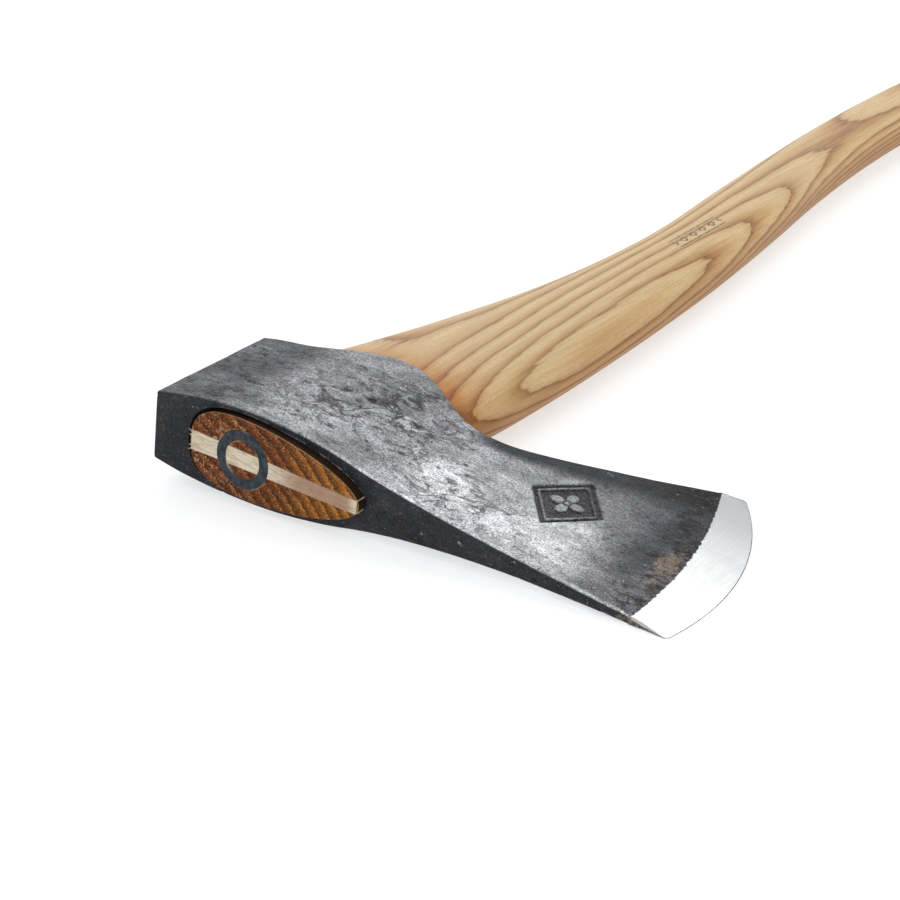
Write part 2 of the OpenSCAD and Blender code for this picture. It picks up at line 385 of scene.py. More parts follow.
def build_head():
    piece = add_solid("forged_head", head_loops())
    sink(piece, head_relief)
    cut(piece, eye_cutter())
    points, normals = points_and_normals(piece)
    x, y, z = points.T
    on_cheek = smooth(0.45, 0.85, abs(normals[:, 2]))
    below = low_y(np.minimum(x, 126)) - y
    to_bevel = bevel_x(y) - x

    def spot(at_x, at_y, reach_x, reach_y):
        return np.exp(-((x - at_x) / reach_x) ** 2 - ((y - at_y) / reach_y) ** 2)
    # the steel's tone with a painted highlight of its sheen: brighter on the cheek's top edge, the throat and
    # before the bevel; painted shade makes it darker near the poll
    tone_and_sheen = 0.21 - 0.075 * smooth(-16, -30, x) + 0.17 * spot(60, 22, 34, 22) + 0.24 * spot(98, 14, 16, 20)
    tone_and_sheen = tone_and_sheen + 0.09 * spot(-2, 9, 14, 8) + 0.08 * spot(56, 22, 14, 14)
    tone_and_sheen = tone_and_sheen - 0.04 * spot(24, 42, 14, 12) - 0.05 * spot(-28, 32, 12, 26)
    tone_and_sheen = tone_and_sheen * (1 - 0.60 * smooth(36, 10, to_bevel) * (0.35 + 0.65 * smooth(4, 34, y)))
    # painted shade: a dark band along the beard, where the cheek rounds off towards the handle
    band = 5.5 + 0.19 * np.maximum(x - 45, 0)
    tone_and_sheen = tone_and_sheen * (1 - 0.88 * smooth(1.35 * band, 0.5 * band, below) * smooth(38, 50, x))
    tone_and_sheen = tone_and_sheen * (1 - 0.30 * smooth(92, 120, x))
    # a painted highlight along the rounded edge where the cheek turns into the top face
    rim = smooth(2.4, 0.4, y - top_y(x) + 0.9 * noise_at(points, 4.0, 7))
    rim = rim * smooth(0.3, 0.6, abs(normals[:, 2])) * smooth(-30, 20, x)
    paint(piece, "tone_and_sheen", DARK + (np.maximum(tone_and_sheen, 0.46 * rim) - DARK) * np.maximum(on_cheek, rim))

    scaly = 0.75 * spot(22, 40, 26, 20) + 0.5 * spot(-2, 22, 14, 16) + 0.6 * spot(62, 14, 24, 12)
    scaly = scaly + 0.8 * smooth(16, 6, to_bevel) + 0.3 * smooth(-10, -30, x)
    paint(piece, "rough_scale", on_cheek * np.clip(scaly, 0, 1))
    paint(piece, "flaked", on_cheek * np.maximum(spot(74, 11, 12, 6), 0.8 * spot(24, 36, 8, 5)))
    cheek_rust = spot(125, 33, 3.5, 6.5) + 0.55 * smooth(14, 4, to_bevel) * spot(124, 22, 12, 22)
    toe_rust = (1 - on_cheek) * 0.9 * smooth(118, 134, x) * (y < 4)
    paint(piece, "rust", np.maximum(cheek_rust, toe_rust))
    paint(piece, "ground", smooth(-0.5, 0.4, x - bevel_x(y)) * smooth(0.2, 0.5, abs(normals[:, 2])))
    paint(piece, "mark", smooth(0.15, 0.45, mark_depth(points)) + 0.8 * smooth(0.2, 0.5, nick_depth(points)))
    # painted highlight on the bevel: 0 at the toe, where it is brightest, 1 towards the heel, where it has
    # faded
    paint(piece, "toe_highlight_fade", smooth(12, 84, y))
    return settle(piece, "axe_head", steel_material())


# ---------------------------------------------------------------- wood and wedges
def section(angle, y):
    """A point on the handle's oval section at a distance from the head's top face."""
    back, front, thick = np.moveaxis(station_at(y), -1, 0)
    c, s = np.cos(angle), np.sin(angle)
    power = 2 / SECTION_POWER
    half = (front - back) / 2
    dx = half * np.sign(c) * abs(c) ** power
    return (front + back) / 2 + dx, thick * np.sign(s) * abs(s) ** power, dx + half


def eye_loop(angle, y, grow):
    x, z = eye_outline(angle, grow)
    limit = waist_half(y) + grow
    return np.stack([x, y + 0 * x, np.clip(z, -limit, limit)], 1)


def handle_loops():
    """Loops from the middle of the tongue's end, over the shoulder and along to the knob."""
    angle = np.linspace(0, 2 * np.pi, 113)[:-1]
    fit, gap = -0.06, 0.12
    end = eye_loop(angle, -PROUD + 0.0 * angle, fit - 0.45)
    middle = np.array([0, -PROUD, 0])
    loops = [middle + (end - middle) * f for f in np.append(np.linspace(0.03, 0.95, 22), 0.975)]
    for y, grow in ((-PROUD + 0.1, fit - 0.1), (-PROUD + 0.35, fit), (-1.4, fit), (0, fit), (2, fit),
                    (8, fit), (20, fit), (32, fit), (44, fit), (51, fit)):
        loops.append(eye_loop(angle, y + 0.0 * angle, grow))
    inner = eye_loop(angle, 51 + 0.0 * angle, fit)
    inner[:, 1] = low_y(inner[:, 0]) + gap
    loops.append(inner)
    shaft_from = 97.0
    rises = np.append([0.0, 0.02], np.linspace(0.06, 1, 16))
    shoulder = []
    for rise in rises:
        y = np.full_like(angle, 60.0)
        for _ in range(6):
            x, z, _ = section(angle, y)
            y0 = low_y(x) + gap
            y = y0 + (shaft_from - y0) * rise
        shoulder.append(np.stack([x, y, z], 1))
    loops += [inner + (shoulder[0] - inner) * f for f in (0.4, 0.85)]
    loops += shoulder
    for y in np.append(np.arange(shaft_from + 3, TOTAL_L - 8, 3.2), np.linspace(692, 700, 7)):
        x, z, reach = section(angle, y + 0 * angle)
        lean = KNOB_LEAN * smooth(KNOB_LEAN_FROM, TOTAL_L, y)
        loops.append(np.stack([x, y - lean * reach, z], 1))
    middle = loops[-1].mean(0)
    loops += [middle + (loops[-1] - middle) * f for f in np.linspace(0.92, 0.05, 9)]
    return loops


def wedge_loops(grow, top):
    """Loops down the wooden wedge, grown all round, from a height above the head's top face."""
    run = np.linspace(-1, 1, 40)
    loops = []
    for y in np.append([top], np.linspace(max(top, -PROUD) + 0.4, WEDGE_DEPTH + grow, 14)):
        taper = np.interp(y, [-PROUD, WEDGE_DEPTH], [WEDGE_T * 0.55, 0.4])
        half_x = (EYE_HALF + grow - 0.06) * (1 - (WEDGE_T / 2 / EYE_W) ** 2.35) ** 0.5
        x = run * half_x
        half = np.minimum(np.interp(x, [-EYE_HALF, EYE_HALF], [WEDGE_T / 2, WEDGE_T / 3]), taper) + grow
        loops.append(np.concatenate([np.stack([x, y + 0 * x, half], 1),
                                     np.stack([x, y + 0 * x, -half], 1)[::-1]]))
    return loops


def ring_loops(grow=0.0, proud=0.25):
    """Loops across the ring wedge's wall, so that the skin closes on itself round the bore."""
    turns = np.linspace(0, 2 * np.pi, 129)[:-1]
    top = -PROUD - proud
    tip = RING_L - PROUD
    rim = 0.35
    wall = [(RING_BORE_R - grow, tip), (RING_BORE_R + 0.5 + grow, tip + grow),
            (RING_R + grow, 0.3 * RING_L - PROUD), (RING_R + grow, top + rim),
            (RING_R + grow - rim * 0.3, top + rim * 0.3), (RING_R + grow - rim, top),
            (RING_BORE_R - grow + rim, top), (RING_BORE_R - grow + rim * 0.3, top + rim * 0.3),
            (RING_BORE_R - grow, top + rim)]
    return [np.stack([THICKEST_X + r * np.cos(turns), y + 0 * turns, r * np.sin(turns)], 1)
            for r, y in wall]


def add_ring(name, loops):
    """The ring wedge's skin: loops joined in a circle, with no end caps."""
    loops = np.asarray(loops)
    m, n = loops.shape[:2]
    ring = np.arange(n)
    after = (ring + 1) % n
    faces = []
    for j in range(m):
        a, b = j * n, (j + 1) % m * n
        faces += np.stack([a + ring, a + after, b + after, b + ring], 1).tolist()
    mesh = bpy.data.meshes.new(name)
    mesh.from_pydata((loops.reshape(-1, 3) * MM).tolist(), [], faces)
    bm = bmesh.new()
    bm.from_mesh(mesh)
    bmesh.ops.recalc_face_normals(bm, faces=bm.faces)
    bm.to_mesh(mesh)
    bm.free()
    solid = bpy.data.objects.new(name, mesh)
    bpy.context.scene.collection.objects.link(solid)
    return solid


def build_handle():
    piece = add_solid("wooden_handle", handle_loops())

    def rasped(points, normals):
        end_grain = smooth(0.6, 0.9, -normals[:, 1]) * (points[:, 1] < 0)
        return end_grain * (0.10 + 0.10 * noise_at(points, 3.0, 5) + 0.06 * noise_at(points, 0.9, 6))
    sink(piece, rasped)
    cut(piece, add_solid("kerf_cutter", wedge_loops(0.03, -PROUD - 4)))
    cut(piece, add_ring("groove_cutter", ring_loops(0.03, 4.0)))
    points, normals = points_and_normals(piece)
    x, y, z = points.T
    end_grain = smooth(0.55, 0.85, -normals[:, 1]) * (y < 0) + smooth(0.5, 0.9, normals[:, 1]) * (y > 650)
    paint(piece, "end_grain", end_grain)
    paint(piece, "tongue_side", y < 40)
    # painted shade: the wood darkens where its surface turns away from the +Z side, over the edges and
    # underside
    paint(piece, "side", smooth(0.75, -0.1, normals[:, 2]) * (y > 40))
    past_lug = y - low_y(x)
    corner = smooth(-10, 34, abs(x)) * smooth(34, 2, past_lug)
    paint(piece, "near_head", (0.7 * smooth(16, 0, past_lug) + 0.7 * corner) * (y > 40))
    # the wood darkens to near black in the throat, just under the beard
    throat_darkening = 1.3 * np.exp(-((x - 31) / 5) ** 2 - (past_lug / 5) ** 2) * (0.7 + 0.5 * noise_at(points, 2.0, 8))
    paint(piece, "throat_darkening", np.clip(throat_darkening, 0, 0.9) * (z > 0) * (y > 40))
    return settle(piece, "handle", handle_material(), sharp=40)


# Torn fibres at the wedge's poll end: start along X, start across, lean across, length
SPLINTERS = [(-32.6, 2.9, 0.9, 2.2), (-32.4, -3.1, -0.9, 2.0), (-32.9, 1.6, 0.3, 1.2),
             (-32.9, -1.9, -0.4, 1.4), (-31.6, 3.2, 0.8, 1.6), (-30.2, -3.3, -0.5, 1.7)]
SPLINTER_CORNERS = (0.5, 2.6, 4.7)        # angles of a splinter's three sides


def add_splinters(piece):
    """Joins thin slivers to the wedge's end, each a bent three-sided spike."""
    bm = bmesh.new()
    bm.from_mesh(piece.data)
    for x, z, lean, long in SPLINTERS:
        way = math.copysign(1, x)
        loops = []
        for t, thick in ((0.0, 0.30), (0.5, 0.2), (1.0, 0.03)):
            middle = np.array([x + way * long * t * 0.8, -PROUD - 0.05 - 0.25 * t, z + lean * t * t])
            loops.append([middle + thick * np.array([0, math.cos(a), math.sin(a)])
                          for a in SPLINTER_CORNERS])
        verts, faces = tube(loops)
        made = [bm.verts.new(v * MM) for v in verts]
        for face in faces:
            bm.faces.new([made[k] for k in face])
    bmesh.ops.recalc_face_normals(bm, faces=bm.faces)
    bm.to_mesh(piece.data)
    bm.free()


def build_wedges():
    wooden = add_solid("driven_wedge", wedge_loops(0.0, -PROUD - 0.05))
    cut(wooden, add_ring("wedge_groove_cutter", ring_loops(0.03, 4.0)))
    add_splinters(wooden)
    settle(wooden, "wooden_wedge", wedge_material(), sharp=30)
    ring = add_ring("steel_ring_wedge", ring_loops())
    points, normals = points_and_normals(ring)
    radius = np.hypot(points[:, 0] - THICKEST_X, points[:, 2])
    from_rim = np.minimum(abs(radius - RING_R), abs(radius - RING_BORE_R))
    # bright rims: partly small knocks from the hammer, partly painted highlight on the ring's edges
    at_rim = smooth(0.34, 0.08, from_rim)
    patchy = smooth(-0.1, 0.5, noise_at(points, 6.0, 9))
    paint(ring, "knocked_and_highlit", at_rim * patchy * (points[:, 1] < 1.5 - PROUD))
    settle(ring, "ring_wedge", ring_material(), sharp=60)


# ---------------------------------------------------------------- materials
class Shader:
    """Short names for the nodes of one material."""

    def __init__(self, name):
        self.material = bpy.data.materials.new(name)
        self.material.use_nodes = True
        self.tree = self.material.node_tree
        self.bsdf = self.tree.nodes["Principled BSDF"]
        self.place = self.node("ShaderNodeAttribute", attribute_name="own").outputs["Vector"]

    def node(self, kind, **settings):
        made = self.tree.nodes.new(kind)
        for key, value in settings.items():
            setattr(made, key, value)
        return made

    def feed(self, socket, value):
        if hasattr(value, "links"):
            self.tree.links.new(value, socket)
        else:
            socket.default_value = value

    def math(self, operation, a, b=0.0):
        made = self.node("ShaderNodeMath", operation=operation)
        self.feed(made.inputs[0], a)
        self.feed(made.inputs[1], b)
        return made.outputs[0]

    def stretch(self, scale, shift=(0, 0, 0)):
        made = self.node("ShaderNodeMapping")
        self.feed(made.inputs["Vector"], self.place)
        made.inputs["Scale"].default_value = scale
        made.inputs["Location"].default_value = shift
        return made.outputs[0]

    def noise(self, size_mm, detail=3.0, rough=0.5, along=(1, 1, 1), twist=0.0):
        """Noise from 0 to 1 with features about size_mm wide, longer where along is under 1."""
        made = self.node("ShaderNodeTexNoise")
        self.feed(made.inputs["Vector"], self.stretch(along))
        made.inputs["Scale"].default_value = 1000.0 / size_mm
        made.inputs["Detail"].default_value = detail
        made.inputs["Roughness"].default_value = rough
        made.inputs["Distortion"].default_value = twist
        return made.outputs["Fac"]

    def attribute(self, name):
        return self.node("ShaderNodeAttribute", attribute_name=name).outputs["Fac"]

    def ramp(self, value, stops, interpolation="LINEAR"):
        """Colours or greys at places from 0 to 1."""
        made = self.node("ShaderNodeValToRGB")
        made.color_ramp.interpolation = interpolation
        elements = made.color_ramp.elements
        while len(elements) < len(stops):
            elements.new(0.5)
        for element, (at, colour) in zip(elements, stops):
            element.position = at
            element.color = (*colour, 1) if hasattr(colour, "__len__") else (colour,) * 3 + (1,)
        self.feed(made.inputs[0], value)
        return made.outputs[0]

    def band(self, value, lo, hi):
        """0 below lo, 1 above hi."""
        made = self.node("ShaderNodeMapRange", interpolation_type="SMOOTHSTEP")
        self.feed(made.inputs["Value"], value)
        made.inputs["From Min"].default_value = lo
        made.inputs["From Max"].default_value = hi
        return made.outputs[0]

    def mix(self, share, a, b, blend="MIX"):
        made = self.node("ShaderNodeMix", data_type="RGBA", blend_type=blend)
        self.feed(made.inputs["Factor"], share)
        for socket, value in ((made.inputs[6], a), (made.inputs[7], b)):
            self.feed(socket, (*value, 1) if isinstance(value, tuple) and len(value) == 3 else value)
        return made.outputs[2]

    def mix_value(self, share, a, b):
        made = self.node("ShaderNodeMix", data_type="FLOAT")
        self.feed(made.inputs["Factor"], share)
        self.feed(made.inputs[2], a)
        self.feed(made.inputs[3], b)
        return made.outputs[0]

    def bump(self, height, distance_mm, normal=None):
        made = self.node("ShaderNodeBump")
        made.inputs["Strength"].default_value = 1.0
        made.inputs["Distance"].default_value = distance_mm * MM
        self.feed(made.inputs["Height"], height)
        if normal is not None:
            self.feed(made.inputs["Normal"], normal)
        return made.outputs[0]

    def finish(self, colour, roughness, metallic=0.0, normal=None):
        self.feed(self.bsdf.inputs["Base Color"], colour)
        self.feed(self.bsdf.inputs["Roughness"], roughness)
        self.feed(self.bsdf.inputs["Metallic"], metallic)
        if normal is not None:
            self.feed(self.bsdf.inputs["Normal"], normal)
        return self.material


def steel_material():
    """Forge scale, a painted highlight where the cheek's sheen shows, and a polished bevel with a painted
    highlight at its toe.
    """
    s = Shader("forged_steel")
    tone_and_sheen = s.attribute("tone_and_sheen")
    ground = s.attribute("ground")
    mark = s.attribute("mark")
    rough_scale = s.attribute("rough_scale")
    clouds = s.noise(16, 3, 0.55, (0.7, 1, 1), 0.5)
    mottle = s.noise(3.2, 6, 0.68, (0.7, 1, 1), 0.4)
    grit = s.noise(0.62, 3, 0.7)
    streaks = s.noise(0.9, 4, 0.6, (0.16, 1, 1))
    light = s.mix_value(s.band(clouds, 0.25, 0.75), 0.62, 1.40)
    mottled = s.mix_value(s.band(mottle, 0.3, 0.7), 0.52, 1.48)
    light = s.math("MULTIPLY", light, s.mix_value(s.mix_value(rough_scale, 0.45, 1.0), 1.0, mottled))
    light = s.math("MULTIPLY", light, s.mix_value(s.band(grit, 0.3, 0.7), 0.42, 1.60))
    light = s.math("MULTIPLY", light, s.mix_value(streaks, 0.80, 1.20))
    value = s.math("MULTIPLY", tone_and_sheen, light)

    # dark scale left in patches, with fine cracks between them
    patches = s.band(s.math("ADD", s.noise(5.5, 6, 0.7, (0.75, 1, 1), 0.5),
                            s.math("MULTIPLY", rough_scale, 0.13)), 0.60, 0.69)
    wander = s.math("ABSOLUTE", s.math("SUBTRACT", s.noise(11, 5, 0.6, (0.6, 1, 1), 0.7), 0.5))
    cracks = s.math("MULTIPLY", s.math("SUBTRACT", 1.0, s.band(wander, 0.004, 0.026)),
                    s.math("ADD", rough_scale, 0.25))
    specks = s.node("ShaderNodeTexVoronoi")
    s.feed(specks.inputs["Vector"], s.stretch((0.7, 1, 1)))
    specks.inputs["Scale"].default_value = 240
    pitted = s.math("MULTIPLY", s.math("SUBTRACT", 1.0, s.band(specks.outputs["Distance"], 0.08, 0.26)),
                    s.band(specks.outputs["Color"], 0.66, 0.76))
    dark = s.math("MAXIMUM", s.math("MULTIPLY", patches, 0.62), s.math("MULTIPLY", cracks, 0.7))
    dark = s.math("MAXIMUM", dark, s.math("MULTIPLY", pitted, 0.7))
    value = s.math("MULTIPLY", value, s.math("SUBTRACT", 1.0, dark))

    # bright places where the scale has flaked off
    flaked = s.math("ADD", s.noise(3.0, 5, 0.65, (0.8, 1, 1), 0.5),
                    s.math("MULTIPLY", s.attribute("flaked"), 0.29))
    bare = s.band(flaked, 0.68, 0.71)
    seam = s.math("MULTIPLY", s.band(flaked, 0.64, 0.68), s.math("SUBTRACT", 1.0, bare))
    value = s.mix_value(s.math("MULTIPLY", seam, 0.7), value, 0.09)
    bright = s.mix_value(s.band(grit, 0.3, 0.7), 0.34, 0.80)
    value = s.mix_value(s.math("MULTIPLY", bare, 0.66), value, bright)

    grey = s.node("ShaderNodeCombineColor")
    for channel, tint in enumerate((0.975, 0.99, 1.02)):
        s.feed(grey.inputs[channel], s.math("MULTIPLY", value, tint))
    skin = s.mix(s.math("MULTIPLY", s.band(clouds, 0.5, 0.7), 0.5), grey.outputs[0], (0.97, 0.94, 1.06),
                 "MULTIPLY")
    shade = s.band(tone_and_sheen, 0.16, 0.04)
    skin = s.mix(s.math("MULTIPLY", shade, 0.8), skin, (0.92, 0.97, 1.12), "MULTIPLY")
    rust = s.math("ADD", s.noise(2.2, 5, 0.7), s.math("MULTIPLY", s.attribute("rust"), 0.3))
    skin = s.mix(s.math("MULTIPLY", s.band(rust, 0.60, 0.80), 0.5), skin,
                 s.mix(s.band(grit, 0.3, 0.7), (0.08, 0.045, 0.025), (0.56, 0.44, 0.32)))
    speck = s.band(s.noise(0.8, 3, 0.6, (0.8, 1, 1)), 0.63, 0.70)
    speck = s.math("MULTIPLY", speck, s.band(tone_and_sheen, 0.10, 0.03))
    skin = s.mix(s.math("MULTIPLY", speck, 0.45), skin, (0.16, 0.165, 0.175))
    punched = s.mix(s.band(grit, 0.4, 0.8), (0.012, 0.012, 0.014), (0.13, 0.13, 0.135))
    skin = s.mix(mark, skin, punched)

    lines = s.noise(0.35, 3, 0.5, (1, 0.03, 1))
    # the polished bevel: fine lines along X, with a painted highlight that is brightest at the toe and fades
    # towards the heel
    bevel_highlight = s.mix(s.attribute("toe_highlight_fade"), (0.62, 0.625, 0.625), (0.23, 0.235, 0.24))
    bevel = s.mix(s.math("MULTIPLY", s.band(lines, 0.3, 0.7), 0.22), bevel_highlight, (0.20, 0.205, 0.21))
    bevel = s.mix(s.math("MULTIPLY", s.band(clouds, 0.4, 0.65), 0.20), bevel, (0.26, 0.265, 0.27))
    uneven = s.math("MULTIPLY", s.math("SUBTRACT", s.noise(1.4, 4, 0.7), 0.5), 1.3)
    ragged = s.band(s.math("ADD", ground, uneven), 0.4, 0.6)
    ground = s.math("MULTIPLY", ragged, s.band(ground, 0.02, 0.2))
    colour = s.mix(ground, skin, bevel)
    rough = s.mix_value(s.band(tone_and_sheen, 0.05, 0.4), 0.62, s.mix_value(mottle, 0.36, 0.50))
    rough = s.mix_value(ground, s.mix_value(dark, rough, 0.7), 0.27)
    metal = s.mix_value(ground, s.mix_value(s.band(tone_and_sheen, 0.03, 0.15), 0.35, 1.0), 1.0)
    s.bsdf.inputs["Specular IOR Level"].default_value = 0.3
    depth = s.math("ADD", s.math("MULTIPLY", mottle, 0.7), s.math("MULTIPLY", grit, 0.4))
    depth = s.math("ADD", depth, s.math("MULTIPLY", streaks, 0.2))
    depth = s.math("SUBTRACT", depth, s.math("MULTIPLY", dark, 0.5))
    depth = s.math("MULTIPLY", depth, s.math("SUBTRACT", 1.0, ground))
    normal = s.bump(depth, 0.42)
    normal = s.bump(s.math("MULTIPLY", lines, ground), 0.010, normal)
    return s.finish(colour, rough, metal, normal)


# The tree's pith runs under the handle: its place at 200 mm, and how it drifts in 100 mm
PITH_X, PITH_Z = -7.1, -30.0
PITH_DRIFT_X, PITH_DRIFT_Z, PITH_BEND_X = 0.49, -1.64, 1.36
GROWTH = 2.32                              # mean width of a growth ring
FIRST_LINE = 43.4 % GROWTH


def growth_rings(s, ripple=1.0):
    """Distance from the pith in growth rings, rippled along the fibre. A whole number is a line."""
    axes = s.node("ShaderNodeSeparateXYZ")
    s.feed(axes.inputs[0], s.place)
    x, y, z = (s.math("MULTIPLY", axes.outputs[k], 1000.0) for k in range(3))
    run = s.math("DIVIDE", s.math("SUBTRACT", y, 200.0), 100.0)
    pith_x = s.math("ADD", s.math("MULTIPLY", s.math("MULTIPLY", run, run), PITH_BEND_X),
                    s.math("ADD", s.math("MULTIPLY", run, PITH_DRIFT_X), PITH_X))
    pith_z = s.math("ADD", s.math("MULTIPLY", run, PITH_DRIFT_Z), PITH_Z)
    dx, dz = s.math("SUBTRACT", x, pith_x), s.math("SUBTRACT", z, pith_z)
    far = s.math("SQRT", s.math("ADD", s.math("MULTIPLY", dx, dx), s.math("MULTIPLY", dz, dz)))
    wave = s.math("SUBTRACT", s.noise(60, 2, 0.5, (1, 0.5, 1)), 0.5)
    comb = s.math("SUBTRACT", s.noise(1.6, 3, 0.6, (1, 0.05, 1)), 0.5)
    far = s.math("ADD", far, s.math("MULTIPLY", wave, 2.4 * ripple))
    far = s.math("ADD", far, s.math("MULTIPLY", comb, 0.9 * ripple))
    return s.math("DIVIDE", s.math("SUBTRACT", far, FIRST_LINE), GROWTH)


def handle_material():
    """Pale ash: brown pore lines along the growth rings, darker at the head, stained end grain."""
    s = Shader("handle_wood")
    axes = s.node("ShaderNodeSeparateXYZ")
    s.feed(axes.inputs[0], s.place)
    x, y, z = axes.outputs
    phase = s.math("FRACT", growth_rings(s))
    pores = s.noise(0.28, 2, 0.5, (1, 0.02, 1))
    fibre = s.noise(0.9, 4, 0.6, (1, 0.03, 1))
    weave = s.noise(0.5, 3, 0.6, (1, 0.3, 1))
    patch = s.noise(45, 3, 0.5, (1, 0.35, 1))
    grain = s.ramp(phase, [(0.0, (0.29, 0.110, 0.022)), (0.05, (0.57, 0.38, 0.175)),
                           (0.25, (0.66, 0.475, 0.245)), (0.50, (0.63, 0.43, 0.205)),
                           (0.80, (0.50, 0.29, 0.100)), (0.95, (0.34, 0.145, 0.032)),
                           (1.0, (0.20, 0.066, 0.012))])
    pale = s.mix(s.math("MULTIPLY", s.band(fibre, 0.35, 0.7), 0.36), grain, (0.38, 0.225, 0.09))
    pale = s.mix(s.math("MULTIPLY", s.band(weave, 0.42, 0.7), 0.26), pale, (0.30, 0.17, 0.08))
    pale = s.mix(s.math("MULTIPLY", s.band(patch, 0.4, 0.7), 0.22), pale, (0.55, 0.42, 0.26))
    line = s.band(phase, 0.68, 0.98)
    pore_line = s.math("MULTIPLY", s.band(pores, 0.50, 0.7), line)
    pale = s.mix(s.math("MULTIPLY", pore_line, 0.55), pale, (0.17, 0.08, 0.03))
    # painted shade on the sides and underside, oiled amber at the head, a near-black patch in the throat and
    # the printed band
    cloudy = s.mix_value(s.noise(5, 4, 0.6, (1, 0.4, 1)), 0.5, 1.3)
    warm = s.math("MULTIPLY", s.attribute("near_head"), cloudy)
    # painted shade on the sides and underside
    side = s.math("MULTIPLY", s.attribute("side"), 0.95)
    pale = s.mix(side, pale, (0.62, 0.47, 0.32), "MULTIPLY")
    pale = s.mix(s.math("MULTIPLY", warm, 0.9), pale, (0.80, 0.48, 0.20), "MULTIPLY")
    throat_darkening = s.math("MULTIPLY", s.attribute("throat_darkening"), s.band(patch, 0.2, 0.5))
    pale = s.mix(throat_darkening, pale, (0.060, 0.022, 0.007))
    ink = s.math("MULTIPLY", printed_band(s, x, y, z), s.band(weave, 0.66, 0.44))
    pale = s.mix(ink, pale, (0.055, 0.035, 0.022))

    # end grain: red-brown at the poll, golden at the bit, chalky flecks, torn fibres and gaps
    golden = s.band(x, -0.006, 0.026)
    red_brown, gold_brown = (0.105, 0.018, 0.001), (0.22, 0.074, 0.004)
    stain = s.mix(golden, red_brown, gold_brown)
    end_line = s.math("FRACT", end_rings(s, x, z))
    deep = s.ramp(end_line, [(0.0, 0.20), (0.10, 0.42), (0.5, 0.95), (0.86, 1.5), (0.94, 1.0),
                             (1.0, 0.20)])
    stain = s.mix(1.0, stain, deep, "MULTIPLY")
    flecks = s.noise(0.42, 3, 0.65)
    rays = s.noise(1.4, 3, 0.6, (1, 1, 1), 0.6)
    chalk = s.math("MULTIPLY", s.band(flecks, 0.50, 0.60),
                   s.mix_value(s.band(end_line, 0.3, 0.9), 0.24, 0.80))
    chalk = s.math("MULTIPLY", chalk, s.mix_value(s.band(rays, 0.4, 0.6), 0.35, 1.0))
    stain = s.mix(chalk, stain, (0.60, 0.33, 0.12))
    torn = s.band(s.noise(2.4, 5, 0.7, (1, 1, 1), 1.2), 0.56, 0.66)
    torn = s.math("MULTIPLY", torn, s.band(x, 0.0, -0.030))
    stain = s.mix(s.math("MULTIPLY", torn, 0.75), stain, (0.62, 0.42, 0.22))
    gaps = s.math("ABSOLUTE", s.math("SUBTRACT", s.noise(5, 4, 0.65, (1, 1, 1), 0.8), 0.5))
    stain = s.mix(s.math("MULTIPLY", s.band(gaps, 0.020, 0.004), 0.8), stain, (0.030, 0.008, 0.003))
    end = s.attribute("end_grain")
    # the tongue's side: a golden painted highlight along its rim where it is proud of the head, and painted
    # shadow, near black, in the gap below
    rim = s.mix(s.band(fibre, 0.35, 0.7), (0.52, 0.30, 0.11), (0.26, 0.11, 0.03))
    # painted highlight above this height, painted shadow below it
    sunk = s.band(y, -0.0025, -0.0021)
    pale = s.mix(s.attribute("tongue_side"), pale, s.mix(sunk, rim, (0.022, 0.010, 0.005)))
    colour = s.mix(end, pale, stain)
    rough = s.mix_value(end, s.mix_value(fibre, 0.38, 0.52), 0.75)
    depth = s.math("ADD", s.math("MULTIPLY", pores, 0.6), s.math("MULTIPLY", line, -0.4))
    normal = s.bump(s.mix_value(end, depth, flecks), 0.12)
    s.bsdf.inputs["Specular IOR Level"].default_value = 0.18
    return s.finish(colour, rough, 0.0, normal)


def end_rings(s, x, z):
    """Growth rings across the tongue's end, which run slantwise, from a pith far outside it."""
    dx = s.math("MULTIPLY", s.math("ADD", x, 0.062), 1000.0)
    dz = s.math("MULTIPLY", s.math("ADD", z, 0.078), 1000.0)
    far = s.math("SQRT", s.math("ADD", s.math("MULTIPLY", dx, dx), s.math("MULTIPLY", dz, dz)))
    wave = s.math("SUBTRACT", s.noise(7, 3, 0.6), 0.5)
    far = s.math("ADD", far, s.math("MULTIPLY", wave, 2.6))
    return s.math("DIVIDE", far, 4.1)


def printed_band(s, x, y, z):
    """A row of small lozenges between two lines, printed on the upper side of the handle."""
    middle_x, middle_y = 0.0155, 0.261
    half_x, half_y = 0.0032, 0.020
    u = s.math("DIVIDE", s.math("SUBTRACT", y, middle_y), half_y)
    v = s.math("ABSOLUTE", s.math("DIVIDE", s.math("SUBTRACT", x, middle_x), half_x))
    inside = s.math("MULTIPLY", s.band(s.math("ABSOLUTE", u), 1.0, 0.98), s.band(z, 0.0, 0.001))
    along = s.math("ABSOLUTE", s.math("SUBTRACT", s.math("FRACT", s.math("MULTIPLY", u, 2.5)), 0.5))
    lozenge = s.band(s.math("ADD", s.math("MULTIPLY", along, 1.5), v), 0.62, 0.52)
    hollow = s.band(s.math("ADD", s.math("MULTIPLY", along, 1.5), v), 0.20, 0.30)
    lines = s.band(s.math("ABSOLUTE", s.math("SUBTRACT", v, 0.9)), 0.11, 0.07)
    return s.math("MULTIPLY", inside, s.math("MAXIMUM", s.math("MULTIPLY", lozenge, hollow), lines))


